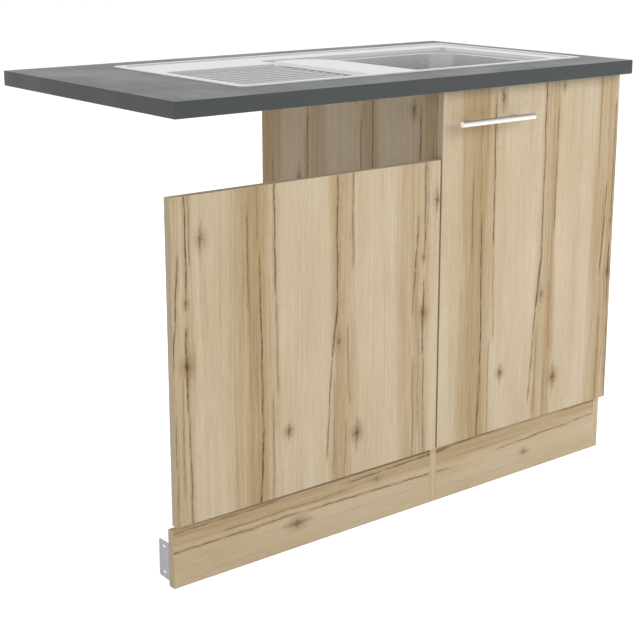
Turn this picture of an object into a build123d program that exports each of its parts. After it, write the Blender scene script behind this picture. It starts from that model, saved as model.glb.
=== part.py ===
from build123d import *
import os
from math import cos, radians, sin, tan

# A kitchen sink unit: an 1100 mm worktop with an inset steel sink stands on a 500 mm base
# cabinet, and its free left half spans a 600 mm bay for a dishwasher that wears a matching front.
# Millimetres. +Z is up, the fronts face -Y, and the origin is on the floor, in the middle
# of the unit's length and of its depth from the handle to the worktop's rear edge.

# ---- Worktop ----
WORKTOP_LENGTH = 1100.0
WORKTOP_DEPTH = 600.0
WORKTOP_THICKNESS = 28.0
WORKTOP_HEIGHT = 850.0  # floor to the worktop's upper face
WORKTOP_EDGE_RADIUS = 1.0
WORKTOP_OVERHANG = 29.0  # worktop edge to the face of the door

# ---- Cabinet boards ----
BOARD = 16.0
CABINET_WIDTH = 500.0
PLINTH_HEIGHT = 120.0
RAIL_HEIGHT = 100.0
RAIL_SETBACK = 3.0  # front rail behind the side panels' front edges, clear of the handle screws
EDGE_BREAK = 0.6

# ---- Fronts ----
FRONT_REVEAL = 2.0  # each side of a front
FRONT_TOP_GAP = 2.0
FRONT_BACK_GAP = 1.0  # between a front's back and the carcass
BAY_FRONT_HEIGHT = 572.0

# ---- Bay plinth and its angle brackets ----
BAY_PLINTH_HEIGHT = 107.0
BAY_PLINTH_INSET = 3.6  # from the worktop's left end
BRACKET_HEIGHT = 69.0
BRACKET_BOTTOM = 10.6
BRACKET_LEG = 31.0
BRACKET_THICKNESS = 1.5
BRACKET_CORNER = 3.0
SLOT_LENGTH = 12.0
SLOT_WIDTH = 4.6
SLOT_SPACING = 49.0
SLOT_FROM_BEND = 16.0

# ---- Board fittings ----
CAM_RADIUS = 7.4
CAM_DEPTH = 12.5
CAM_SETBACK = 24.0  # board end to the cam's centre
CAM_BOLT_RADIUS = 3.0
CAM_BOLT_HOLE_RADIUS = 4.0
CAM_THREAD_RADIUS = 2.5
CAM_THREAD_DEPTH = 11.0
DOWEL_RADIUS = 4.0
DOWEL_LENGTH = 30.0
DOWEL_IN_SIDE = 12.0
FITTING_EDGE_INSET = 50.0  # cam centre from a board's long edge
DOWEL_FROM_CAM = 32.0
FIT = 0.05  # radial clearance of a push fit

# ---- Screws ----
SCREW_RADIUS = 1.75
SCREW_HEAD_RADIUS = 3.5
SCREW_HEAD_HEIGHT = 2.0
SCREW_LENGTH = 13.0

# ---- Worktop brackets ----
ANGLE_LEG = 22.0
ANGLE_WIDTH = 18.0
ANGLE_THICKNESS = 2.0
ANGLE_FROM_EDGE = 30.0  # bracket centre from the carcass's front and rear edges

# ---- Sink ----
SINK_LENGTH = 860.0
SINK_CORNER = 12.0
SINK_FROM_RIGHT = 50.0  # worktop's right end to the sink's edge
SINK_FROM_FRONT = 92.0
SINK_FROM_BACK = 73.0
SHEET = 0.8
RIM_HEIGHT = 2.6  # rim's upper face over the worktop
RIM_WIDTH = 15.0
LEDGE_DROP = 1.2  # tap ledge below the rim
CUTOUT_INSET = 9.0  # worktop opening inside the sink's edge
CUTOUT_CORNER = 14.0
FIELD_DROP = 6.5  # recessed field below the ledge
FIELD_MARGIN = 23.0  # sink's edge to the recessed field
FIELD_CORNER = 10.0
FIELD_TAPER = 25.0
BRIDGE_WIDTH = 113.0  # drainer to the bowl's surround
DRAINER_LEDGE = 152.0  # width of the ledge behind the drainer
BOWL_LEDGE = 83.0  # width of the ledge behind the bowl
CHANNEL_WIDTH = 24.0  # drainer to bowl, behind the bridge
CHANNEL_NECK = 21.0  # where the channel leaves the drainer
BRIDGE_CORNER = 75.0
BOWL_LENGTH = 356.0
BOWL_MARGIN = 9.0  # recessed field's edge to the bowl's mouth
BOWL_DEPTH = 150.0
BOWL_CORNER = 62.0
BOWL_TAPER = 2.0
BOWL_FLOOR_RADIUS = 32.0
BOWL_LIP_RADIUS = 4.0
BOWL_FROM_RIGHT = 72.0
RIB_COUNT = 10
RIB_WIDTH = 9.0
RIB_HEIGHT = 2.6
RIB_TAPER = 35.0
RIB_LEFT_GAP = 13.0  # drainer's left edge to the ribs' ends
RIB_RIGHT_GAP = 30.0
RIB_FRONT_GAP = 20.0  # drainer's front edge to the first rib's middle
RIB_BACK_GAP = 15.0

# ---- Sink seal, hanger strips and clips ----
SEAL_WIDTH = 5.0
SEAL_GAP = 0.2  # rim's turned-down edge to the seal
HANGER_HEIGHT = 14.0
HANGER_THICKNESS = 1.0
HANGER_INSET = 3.0  # worktop opening to the strip
HANGER_WINDOW = 2.1
CLIP_THICKNESS = 2.0
CLIP_REACH = 22.0
CLIP_FOOT_GAP = 6.0  # worktop's underside to the clip's foot
CLIP_WIDTH = 14.0
CLIP_HOOK_DROP = 8.0  # from the strip's upper edge to its windows
CLIP_FROM_END = 80.0  # sink's end to the outer clips
CLIP_FROM_MIDDLE = 140.0  # sink's middle to the inner clips

# ---- Waste and strainer basket ----
WASTE_HOLE_RADIUS = 45.0
WASTE_FLANGE_RADIUS = 56.0
WASTE_FLANGE_THICKNESS = 1.2
WASTE_CUP_RADIUS = 42.0
WASTE_CUP_DEPTH = 42.0
CUP_DRAINS = 6
CUP_DRAIN_RADIUS = 3.5
CUP_DRAIN_PITCH = 13.0  # radius of the ring of drain holes
WASTE_SEAL_THICKNESS = 3.0
WASTE_BODY_WALL = 2.5
WASTE_BODY_DEPTH = 62.0
BODY_CLEARANCE = 1.0  # cup to the body's bore
BODY_BOSS_RADIUS = 6.0
BODY_BOSS_DROP = 6.0  # cup's floor to the boss
BODY_FLANGE_INSET = 1.0  # steel flange's edge to the body's flange
OUTLET_RADIUS = 23.5
OUTLET_WALL = 3.0
OUTLET_COLLAR = 3.0
OUTLET_LENGTH = 34.0
BASKET_RADIUS = 38.0
BASKET_DEPTH = 30.0
BASKET_WALL = 1.0
BASKET_CLEARANCE = 0.6
BASKET_STEM_RADIUS = 2.5
BASKET_KNOB_RADIUS = 9.0
BASKET_KNOB_HEIGHT = 14.0
KNOB_EDGE = 2.0
CUP_EDGE = 4.0
BASKET_HOLES = 12
BASKET_HOLE_RADIUS = 3.0
BASKET_HOLE_PITCH = 26.6
PLUG_RADIUS = 20.0
PLUG_THICKNESS = 4.0
WASTE_SCREW_RADIUS = 3.0
WASTE_SCREW_HEAD_RADIUS = 6.0
WASTE_SCREW_HEAD_HEIGHT = 2.0

# ---- Overflow ----
OVERFLOW_DROP = 58.0  # rim to the centre of the overflow
OVERFLOW_FROM_FRONT = 100.5  # bowl's front edge to the overflow
OVERFLOW_HOLE_RADIUS = 17.0
OVERFLOW_COVER_RADIUS = 24.0
OVERFLOW_COVER_THICKNESS = 1.5
COVER_SLOTS = 6
COVER_SLOT_RADIUS = 2.6
COVER_SLOT_PITCH = 10.2
OVERFLOW_SCREW_RADIUS = 2.5
OVERFLOW_SCREW_HEAD_RADIUS = 5.0
OVERFLOW_SCREW_HEAD_HEIGHT = 2.0
OVERFLOW_BOSS_RADIUS = 5.0
OVERFLOW_SEAL_THICKNESS = 2.5
OVERFLOW_CUP_DEPTH = 26.0
OVERFLOW_PIPE_RADIUS = 10.0
OVERFLOW_PIPE_WALL = 1.5
OVERFLOW_PIPE_BEND = 32.0
INLET_DROP = 37.2  # waste body's top to the pipe's level run
PIPE_STANDOFF = 4.0  # waste body's wall to the pipe's end
PIPE_TOP_DROP = 2.0  # overflow's cup to the pipe's upper end
SOCKET_WALL = 2.5
SOCKET_DEPTH = 12.0
SOCKET_ROOT = 8.0  # how far a socket runs into its cup's wall

# ---- Handle ----
HANDLE_LENGTH = 192.0
HANDLE_BAR_RADIUS = 6.0
HANDLE_SPACING = 128.0  # between the posts
HANDLE_BAR_EDGE = 0.6
HANDLE_PROJECTION = 35.0
HANDLE_POST_RADIUS = 4.5
HANDLE_BELOW_TOP = 61.0
HANDLE_FROM_EDGE = 117.0  # door's left edge to the handle's middle
HANDLE_SCREW_RADIUS = 2.0
HANDLE_SCREW_IN_POST = 12.0
HANDLE_TAP_DEPTH = 22.0
HANDLE_SCREW_HEAD_RADIUS = 4.0
HANDLE_SCREW_HEAD_HEIGHT = 2.2

# ---- Door hinges ----
CUP_RADIUS = 17.5
CUP_DEPTH = 12.0
CUP_WALL = 0.8
CUP_FROM_EDGE = 4.0
CUP_FLANGE_THICKNESS = 0.8
CUP_FLANGE_WIDTH = 2.0
CUP_EAR_WIDTH = 11.0
CUP_EAR_CORNER = 5.0
CUP_SCREW_LENGTH = 10.0
CUP_SCREW_SPACING = 48.0
CUP_SCREW_OFFSET = 6.0
HINGE_FROM_END = 110.0
HINGE_ARM_WIDTH = 15.0
HINGE_ARM_HEIGHT = 11.0
HINGE_ARM_LENGTH = 62.0
HINGE_ARM_SHEET = 1.2
HINGE_ARM_EDGE = 2.0
HINGE_ARM_SETBACK = 0.3  # arm's front end behind the carcass's front
PLATE_FROM_FRONT = 37.0
PLATE_THICKNESS = 3.0
PLATE_LENGTH = 26.0
PLATE_HEIGHT = 52.0
PLATE_WING = 12.0
PLATE_CORNER = 5.0
PLATE_SCREW_SPACING = 32.0
ARM_SCREW_LENGTH = 9.0
BUMPER_RADIUS = 4.0
BUMPER_FROM_TOP = 40.0

# ---- Places that follow from the sizes ----
depth_overall = max(WORKTOP_DEPTH, WORKTOP_DEPTH - WORKTOP_OVERHANG + HANDLE_PROJECTION)
left_x = -WORKTOP_LENGTH / 2
right_x = WORKTOP_LENGTH / 2
back_y = depth_overall / 2
worktop_front_y = back_y - WORKTOP_DEPTH
worktop_under_z = WORKTOP_HEIGHT - WORKTOP_THICKNESS
front_face_y = worktop_front_y + WORKTOP_OVERHANG
front_back_y = front_face_y + BOARD
carcass_y = front_back_y + FRONT_BACK_GAP
cabinet_x = right_x - CABINET_WIDTH
inner_left_x = cabinet_x + BOARD
inner_right_x = right_x - BOARD
door_top_z = worktop_under_z - FRONT_TOP_GAP
door_left_x = cabinet_x + FRONT_REVEAL
door_right_x = right_x - FRONT_REVEAL


def block(x0, x1, y0, y1, z0, z1):
    """A square-edged block between two corners."""
    return Pos((x0 + x1) / 2, (y0 + y1) / 2, (z0 + z1) / 2) * Box(x1 - x0, y1 - y0, z1 - z0)


def rod(origin, direction, length, radius):
    """A round bar that starts at origin and runs along direction."""
    return Plane(origin=origin, z_dir=direction) * Cylinder(
        radius, length, align=(Align.CENTER, Align.CENTER, Align.MIN)
    )


def board(x0, x1, y0, y1, z0, z1):
    """A cabinet board with its edges lightly broken."""
    plain = block(x0, x1, y0, y1, z0, z1)
    return chamfer(plain.edges(), EDGE_BREAK / 2)


def write(name, *solids):
    """Write one node, as a single solid or as a group of separate ones."""
    shape = solids[0] if len(solids) == 1 else Compound(list(solids))
    export_step(shape, f"parts/{name}.step")


def screw(tip_direction, seat, length=SCREW_LENGTH):
    """A pan-head screw whose head seats at a point and whose shank runs along the direction."""
    away = tuple(-part for part in tip_direction)
    return rod(seat, tip_direction, length, SCREW_RADIUS) + rod(
        seat, away, SCREW_HEAD_HEIGHT, SCREW_HEAD_RADIUS
    )


def screw_hole(tip_direction, seat, length=SCREW_LENGTH):
    """The pilot hole that takes such a screw."""
    return rod(seat, tip_direction, length, SCREW_RADIUS + FIT)


# ---- Board fittings: cams with their bolts, and dowels, at the ends of each board ----
def fitting_spots():
    """Yield the cam's place, its face normal and the dowel's place, for each board joint.

    A place is a point in the middle of the board's thickness, as (y, z).
    """
    mid_bottom = PLINTH_HEIGHT + BOARD / 2
    down = (0, 0, -1)
    for y, step in (
        (carcass_y + FITTING_EDGE_INSET, DOWEL_FROM_CAM),
        (back_y - FITTING_EDGE_INSET, -DOWEL_FROM_CAM),
    ):
        yield (y, mid_bottom), down, (y + step, mid_bottom)
    inward, outward = (0, 1, 0), (0, -1, 0)
    rail_z = worktop_under_z - RAIL_HEIGHT / 2
    foot_z = PLINTH_HEIGHT + BOARD + RAIL_HEIGHT / 2
    plinth_z = PLINTH_HEIGHT / 2
    half = DOWEL_FROM_CAM / 2
    front_mid = carcass_y + RAIL_SETBACK + BOARD / 2
    for y, z, normal in (
        (front_mid, rail_z, inward),
        (back_y - BOARD / 2, rail_z, outward),
        (back_y - BOARD / 2, foot_z, outward),
        (carcass_y + BOARD / 2, plinth_z, inward),
    ):
        yield (y, z + half), normal, (y, z - half)


def joint_ends():
    """The two side panels' inner faces, each with the direction into the cabinet."""
    return ((inner_left_x, 1), (inner_right_x, -1))


def cam_bores(spot, normal, face_x, into):
    """What one cam fitting cuts out of the boards."""
    y, z = spot
    bolt = rod((face_x, y, z), (into, 0, 0), CAM_SETBACK, CAM_BOLT_HOLE_RADIUS)
    thread = rod((face_x, y, z), (-into, 0, 0), CAM_THREAD_DEPTH, CAM_THREAD_RADIUS + FIT)
    return bolt + thread + cam_body(spot, normal, face_x, into, CAM_RADIUS + FIT)


def cam_body(spot, normal, face_x, into, radius):
    """The cam's round housing, let into the board's face."""
    y, z = spot
    centre = Vector(face_x + into * CAM_SETBACK, y, z)
    face = centre + Vector(*normal) * (BOARD / 2)
    return rod(face, tuple(-part for part in normal), CAM_DEPTH, radius)


def cam(spot, normal, face_x, into):
    """A cam housing, open towards its bolt."""
    y, z = spot
    passage = rod((face_x, y, z), (into, 0, 0), CAM_SETBACK, CAM_BOLT_HOLE_RADIUS)
    return cam_body(spot, normal, face_x, into, CAM_RADIUS) - passage


def cam_bolt(spot, normal, face_x, into):
    """A bolt from the side panel to the middle of its cam."""
    y, z = spot
    shaft = rod((face_x, y, z), (into, 0, 0), CAM_SETBACK - FIT, CAM_BOLT_RADIUS)
    thread = rod((face_x, y, z), (-into, 0, 0), CAM_THREAD_DEPTH, CAM_THREAD_RADIUS)
    return shaft + thread


def dowel(spot, face_x, into, radius=DOWEL_RADIUS):
    """A beech dowel across the joint of a side panel and a board."""
    y, z = spot
    start = face_x - into * DOWEL_IN_SIDE
    return rod((start, y, z), (into, 0, 0), DOWEL_LENGTH, radius)


def fittings():
    """All cams, bolts and dowels, and everything that they cut out of the boards."""
    cams, bolts, dowels, cuts = [], [], [], []
    for face_x, into in joint_ends():
        for cam_spot, normal, dowel_spot in fitting_spots():
            cams.append(cam(cam_spot, normal, face_x, into))
            bolts.append(cam_bolt(cam_spot, normal, face_x, into))
            dowels.append(dowel(dowel_spot, face_x, into))
            cuts.append(cam_bores(cam_spot, normal, face_x, into))
            cuts.append(dowel(dowel_spot, face_x, into, DOWEL_RADIUS + FIT))
    return cams, bolts, dowels, cuts


# ---- Brackets that hold the worktop on the side panels ----
def worktop_angles():
    """Four steel angles with their screws, and the pilot holes of those screws."""
    angles, screws, holes = [], [], []
    middle = ANGLE_LEG / 2
    for face_x, into in joint_ends():
        for y in (carcass_y + ANGLE_FROM_EDGE, back_y - ANGLE_FROM_EDGE):
            x_out = face_x + into * ANGLE_LEG
            x_in = face_x + into * ANGLE_THICKNESS
            y0, y1 = y - ANGLE_WIDTH / 2, y + ANGLE_WIDTH / 2
            flat_z = worktop_under_z - ANGLE_THICKNESS
            top_leg = block(min(face_x, x_out), max(face_x, x_out), y0, y1, flat_z, worktop_under_z)
            side_leg = block(
                min(face_x, x_in), max(face_x, x_in), y0, y1, worktop_under_z - ANGLE_LEG, worktop_under_z
            )
            up_seat = (face_x + into * (middle + ANGLE_THICKNESS), y, flat_z)
            side_seat = (x_in, y, flat_z - middle)
            pilots = [
                screw_hole((0, 0, 1), up_seat),
                screw_hole((-into, 0, 0), side_seat),
            ]
            angles.append(top_leg + side_leg - pilots)
            screws.append(screw((0, 0, 1), up_seat))
            screws.append(screw((-into, 0, 0), side_seat))
            holes += pilots
    return angles, screws, holes


# ---- Bay plinth with its angle brackets ----
def slot_heights():
    middle = BRACKET_BOTTOM + BRACKET_HEIGHT / 2
    return (middle - SLOT_SPACING / 2, middle + SLOT_SPACING / 2)


def bracket_leg():
    """One leg of an angle bracket, flat in XZ, with its bend at x = 0 and two level slots."""
    outline = Pos(BRACKET_LEG / 2, BRACKET_BOTTOM + BRACKET_HEIGHT / 2) * Rectangle(
        BRACKET_LEG, BRACKET_HEIGHT
    )
    free = outline.vertices().group_by(Axis.X)[-1]
    outline = fillet(free, BRACKET_CORNER)
    for z in slot_heights():
        outline -= Pos(SLOT_FROM_BEND, z) * SlotOverall(SLOT_LENGTH, SLOT_WIDTH)
    return extrude(Plane.XZ * outline, -BRACKET_THICKNESS)


def plinth_bracket(corner_x, along):
    """An angle bracket behind the bay plinth: one leg on its back, one square to it."""
    leg = bracket_leg()
    back_leg = leg if along > 0 else mirror(leg, Plane.YZ)
    side_leg = mirror(Rot(0, 0, 90) * leg, Plane.YZ) if along < 0 else Rot(0, 0, 90) * leg
    side_leg = Pos(along * BRACKET_THICKNESS, 0, 0) * side_leg
    place = Pos(corner_x, carcass_y + BOARD, 0)
    return place * (back_leg + side_leg)


def plinth_screws():
    """The screws through the brackets' slots, each with its pilot hole."""
    screws, holes = [], []
    back = carcass_y + BOARD + BRACKET_THICKNESS
    left_slot_x = left_x + BAY_PLINTH_INSET + SLOT_FROM_BEND
    right_slot_x = cabinet_x - SLOT_FROM_BEND
    seats = [((0, -1, 0), (x, back, z)) for x in (left_slot_x, right_slot_x) for z in slot_heights()]
    side_y = carcass_y + BOARD + SLOT_FROM_BEND
    seats += [((1, 0, 0), (cabinet_x - BRACKET_THICKNESS, side_y, z)) for z in slot_heights()]
    for direction, seat in seats:
        screws.append(screw(direction, seat))
        holes.append(screw_hole(direction, seat))
    return screws, holes


# ---- Sink ----
sink_right_x = right_x - SINK_FROM_RIGHT
sink_left_x = sink_right_x - SINK_LENGTH
sink_front_y = worktop_front_y + SINK_FROM_FRONT
sink_back_y = back_y - SINK_FROM_BACK
sink_x = (sink_left_x + sink_right_x) / 2
sink_y = (sink_front_y + sink_back_y) / 2
rim_z = WORKTOP_HEIGHT + RIM_HEIGHT
ledge_z = rim_z - LEDGE_DROP
field_z = ledge_z - FIELD_DROP
field_front_y = sink_front_y + FIELD_MARGIN
field_back_y = sink_back_y - BOWL_LEDGE
bowl_right_x = sink_right_x - BOWL_FROM_RIGHT
bowl_left_x = bowl_right_x - BOWL_LENGTH
bowl_front_y = field_front_y + BOWL_MARGIN
bowl_back_y = field_back_y - BOWL_MARGIN
bowl_x = (bowl_left_x + bowl_right_x) / 2
bowl_y = (bowl_front_y + bowl_back_y) / 2
bowl_floor_z = field_z - BOWL_DEPTH
drainer_left_x = sink_left_x + FIELD_MARGIN
drainer_right_x = bowl_left_x - BOWL_MARGIN - BRIDGE_WIDTH
drainer_back_y = sink_back_y - DRAINER_LEDGE


def sink_outline(inset, corner):
    """The sink's outline, drawn in by inset."""
    size_x, size_y = SINK_LENGTH - 2 * inset, sink_back_y - sink_front_y - 2 * inset
    return Pos(sink_x, sink_y) * RectangleRounded(size_x, size_y, corner)


def plan_rectangle(x0, x1, y0, y1):
    return Pos((x0 + x1) / 2, (y0 + y1) / 2) * Rectangle(x1 - x0, y1 - y0)


def field_outline(grow=0.0):
    """The recessed field: the drainer, the channel behind the bridge and the bowl's surround."""
    left, right = drainer_left_x - grow, drainer_right_x + grow
    surround_left = bowl_left_x - BOWL_MARGIN - grow
    surround_right = bowl_right_x + BOWL_MARGIN + grow
    neck_left = drainer_right_x - CHANNEL_NECK - grow
    bridge_back = field_back_y - CHANNEL_WIDTH - grow
    front, back = field_front_y - grow, field_back_y + grow
    whole = plan_rectangle(left, right, front, drainer_back_y + grow)
    whole += plan_rectangle(neck_left, right, front, back)
    whole += plan_rectangle(neck_left, surround_right, bridge_back, back)
    whole += plan_rectangle(surround_left, surround_right, front, back)
    bridge_end = Vector(surround_left, bridge_back, 0)
    corners = whole.vertices().sort_by_distance(bridge_end)[1:]
    whole = fillet(corners, FIELD_CORNER)
    return fillet(whole.vertices().sort_by_distance(bridge_end)[0], BRIDGE_CORNER - grow)


def pressing(outline, top_z, drop, taper):
    """A pressed hollow that narrows downwards."""
    return extrude(Plane.XY.offset(top_z) * outline, -drop, taper=taper)


def bowl_and_field(grow=0.0):
    """The space of the recessed field and the bowl, or with grow the outside of the sheet."""
    field = pressing(field_outline(grow), ledge_z, FIELD_DROP + grow, FIELD_TAPER)
    size_x = BOWL_LENGTH + 2 * grow
    size_y = bowl_back_y - bowl_front_y + 2 * grow
    mouth = Pos(bowl_x, bowl_y) * RectangleRounded(size_x, size_y, BOWL_CORNER + grow)
    bowl = pressing(mouth, field_z, BOWL_DEPTH + grow, BOWL_TAPER)
    floor = bowl.faces().sort_by(Axis.Z)[0]
    bowl = fillet(floor.edges(), BOWL_FLOOR_RADIUS + grow)
    whole = field + bowl
    level = field_z - grow
    lip = [
        edge
        for edge in whole.edges()
        if abs(edge.bounding_box().min.Z - level) < 0.01
        and abs(edge.bounding_box().max.Z - level) < 0.01
        and bowl_left_x - 2 * grow - 1 < edge.center().X < bowl_right_x + 2 * grow + 1
        and bowl_front_y - 2 * grow - 1 < edge.center().Y < bowl_back_y + 2 * grow + 1
    ]
    return fillet(lip, BOWL_LIP_RADIUS - grow)


def ribs(lift):
    """The drainer's raised ribs, along X."""
    bars = []
    x0, x1 = drainer_left_x + RIB_LEFT_GAP, drainer_right_x - RIB_RIGHT_GAP
    y0, y1 = field_front_y + RIB_FRONT_GAP, drainer_back_y - RIB_BACK_GAP
    for index in range(RIB_COUNT):
        y = y0 + (y1 - y0) * index / (RIB_COUNT - 1)
        outline = Pos((x0 + x1) / 2, y) * SlotOverall(x1 - x0, RIB_WIDTH)
        bars.append(extrude(Plane.XY.offset(field_z + lift) * outline, RIB_HEIGHT, taper=RIB_TAPER))
    return bars


def sink(overflow_hole):
    """The pressed steel sink: rim, ledge, ribbed drainer and bowl in one sheet."""
    floor = Plane.XY.offset(WORKTOP_HEIGHT)
    rim = extrude(floor * sink_outline(0, SINK_CORNER), RIM_HEIGHT)
    rim = fillet(rim.edges().group_by(Axis.Z)[-1], RIM_HEIGHT / 2)
    rim -= extrude(floor * sink_outline(SHEET, SINK_CORNER - SHEET), RIM_HEIGHT - SHEET)
    ledge = sink_outline(RIM_WIDTH - SHEET, SINK_CORNER)
    rim += extrude(Plane.XY.offset(ledge_z - SHEET) * ledge, LEDGE_DROP + SHEET / 2)
    rim -= pressing(sink_outline(RIM_WIDTH, SINK_CORNER), rim_z, LEDGE_DROP, FIELD_TAPER)
    sheet = rim + bowl_and_field(SHEET)
    sheet -= bowl_and_field()
    sheet += ribs(0)
    sheet -= ribs(-SHEET)
    drain = rod((bowl_x, bowl_y, bowl_floor_z + 1), (0, 0, -1), SHEET + 2, WASTE_HOLE_RADIUS)
    return sheet - drain - overflow_hole


def sink_seal():
    """The foam strip under the sink's edge, on the worktop."""
    floor = Plane.XY.offset(WORKTOP_HEIGHT)
    outer = sink_outline(SHEET + SEAL_GAP, SINK_CORNER - SHEET)
    inner = sink_outline(SHEET + SEAL_GAP + SEAL_WIDTH, SINK_CORNER / 2)
    return extrude(floor * (outer - inner), RIM_HEIGHT - SHEET)


def worktop():
    """The worktop, cut out for the sink."""
    slab = block(left_x, right_x, worktop_front_y, back_y, worktop_under_z, WORKTOP_HEIGHT)
    front = slab.faces().sort_by(Axis.Y)[0]
    slab = fillet(front.edges().filter_by(Axis.X), WORKTOP_EDGE_RADIUS)
    opening = extrude(
        Plane.XY.offset(worktop_under_z - 1) * sink_outline(CUTOUT_INSET, CUTOUT_CORNER),
        WORKTOP_THICKNESS + 2,
    )
    return slab - opening


# ---- Hanger strips and clips under the sink's edge ----
strip_inset = CUTOUT_INSET + HANGER_INSET
strip_top_z = rim_z - SHEET
window_z = strip_top_z - CLIP_HOOK_DROP


def clip_places():
    """Each clip's place on its strip's outer face, and the outward direction."""
    places = (
        sink_left_x + CLIP_FROM_END,
        sink_x - CLIP_FROM_MIDDLE,
        sink_x + CLIP_FROM_MIDDLE,
        sink_right_x - CLIP_FROM_END,
    )
    for x in places:
        yield (x, sink_front_y + strip_inset), -90
        yield (x, sink_back_y - strip_inset), 90


def at_clip(place, turn, shape):
    """Put a shape that is drawn with +X outward at a clip's place."""
    return Pos(place[0], place[1], 0) * Rot(0, 0, turn) * shape


def hanger_strips():
    """The strips welded under the sink's rim, with a window for each clip."""
    x0, x1 = sink_left_x + strip_inset, sink_right_x - strip_inset
    y0, y1 = sink_front_y + strip_inset, sink_back_y - strip_inset
    end = 2 * CUTOUT_CORNER
    z0 = strip_top_z - HANGER_HEIGHT
    thick = HANGER_THICKNESS
    front = block(x0 + end, x1 - end, y0, y0 + thick, z0, strip_top_z)
    rear = block(x0 + end, x1 - end, y1 - thick, y1, z0, strip_top_z)
    left = block(x0, x0 + thick, y0 + end, y1 - end, z0, strip_top_z)
    right = block(x1 - thick, x1, y0 + end, y1 - end, z0, strip_top_z)
    half = CLIP_WIDTH / 2 + FIT
    window = block(-thick - 1, 1, -half, half, window_z - HANGER_WINDOW / 2, window_z + HANGER_WINDOW / 2)
    windows = [at_clip(place, turn, window) for place, turn in clip_places()]
    return front - windows, rear - windows, left, right


def clip_foot_z():
    return worktop_under_z - CLIP_FOOT_GAP


def clip_screw_seat():
    return (CLIP_REACH - CLIP_WIDTH / 2, 0, clip_foot_z() - CLIP_THICKNESS)


def sink_clip():
    """A clip, drawn with +X outward: a tongue in the strip, a web, and a foot under the worktop."""
    half = CLIP_WIDTH / 2
    inner = -HANGER_THICKNESS - CLIP_THICKNESS
    foot_z = clip_foot_z()
    web = block(inner, -HANGER_THICKNESS, -half, half, foot_z - CLIP_THICKNESS, window_z + CLIP_THICKNESS)
    foot = block(inner, CLIP_REACH, -half, half, foot_z - CLIP_THICKNESS, foot_z)
    tongue_half = CLIP_THICKNESS / 2
    tongue = block(inner, HANGER_INSET / 2, -half, half, window_z - tongue_half, window_z + tongue_half)
    return web + foot + tongue - screw_hole((0, 0, 1), clip_screw_seat())


def sink_clip_screw():
    return screw((0, 0, 1), clip_screw_seat(), CLIP_THICKNESS + CLIP_FOOT_GAP)


# ---- Waste, strainer basket and overflow ----
flange_top_z = bowl_floor_z + WASTE_FLANGE_THICKNESS
cup_floor_z = bowl_floor_z - WASTE_CUP_DEPTH
seal_top_z = bowl_floor_z - SHEET
body_top_z = seal_top_z - WASTE_SEAL_THICKNESS
body_floor_z = body_top_z - WASTE_BODY_DEPTH
body_bore_radius = WASTE_CUP_RADIUS + BODY_CLEARANCE
body_outer_radius = body_bore_radius + WASTE_BODY_WALL


def waste_rod(z_low, z_high, radius):
    """A round bar on the waste's axis."""
    return rod((bowl_x, bowl_y, z_low), (0, 0, 1), z_high - z_low, radius)


def ring_of_holes(count, pitch_radius, z_low, z_high, radius):
    return [
        Pos(bowl_x, bowl_y, z_low) * Rot(0, 0, index * 360 / count) * Pos(pitch_radius, 0, 0)
        * Cylinder(radius, z_high - z_low, align=(Align.CENTER, Align.CENTER, Align.MIN))
        for index in range(count)
    ]


def waste_flange():
    """The strainer cup: a flange on the bowl's floor and a cup with drain holes."""
    flange = waste_rod(bowl_floor_z, flange_top_z, WASTE_FLANGE_RADIUS)
    flange = chamfer(flange.edges().group_by(Axis.Z)[-1], WASTE_FLANGE_THICKNESS / 2)
    cup = waste_rod(cup_floor_z, flange_top_z, WASTE_CUP_RADIUS)
    cup = chamfer(cup.edges().group_by(Axis.Z)[0], CUP_EDGE)
    space = waste_rod(cup_floor_z + BASKET_WALL, flange_top_z + 1, WASTE_CUP_RADIUS - BASKET_WALL)
    space = chamfer(space.edges().group_by(Axis.Z)[0], CUP_EDGE - BASKET_WALL / 2)
    drains = ring_of_holes(
        CUP_DRAINS, CUP_DRAIN_PITCH, cup_floor_z - 1, cup_floor_z + 2, CUP_DRAIN_RADIUS
    )
    centre = waste_rod(cup_floor_z - 1, cup_floor_z + 2, WASTE_SCREW_RADIUS + FIT)
    return flange + cup - space - drains - centre


def waste_seal():
    outer = waste_rod(body_top_z, seal_top_z, WASTE_FLANGE_RADIUS - BODY_FLANGE_INSET)
    return outer - waste_rod(body_top_z - 1, seal_top_z + 1, WASTE_HOLE_RADIUS)


def overflow_plane():
    """The overflow's centre on the bowl's right wall, with z pointing into the bowl."""
    drop = OVERFLOW_DROP - (rim_z - field_z)
    lean = radians(BOWL_TAPER)
    x, y = bowl_right_x - drop * tan(lean), bowl_front_y + OVERFLOW_FROM_FRONT
    centre = (x, y, rim_z - OVERFLOW_DROP)
    return Plane(origin=centre, z_dir=(-cos(lean), 0, sin(lean)), x_dir=(0, 1, 0))


def overflow_rod(low, high, radius):
    """A round bar on the overflow's axis, between two distances from the bowl's wall."""
    return overflow_plane().offset(low) * Cylinder(
        radius, high - low, align=(Align.CENTER, Align.CENTER, Align.MIN)
    )


def overflow_drop_line():
    """The top of the overflow pipe, below the overflow's cup."""
    middle = overflow_plane().offset(-SHEET - OVERFLOW_SEAL_THICKNESS - OVERFLOW_CUP_DEPTH / 2).origin
    return middle.X, middle.Y, middle.Z - OVERFLOW_HOLE_RADIUS - SOCKET_WALL


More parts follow.
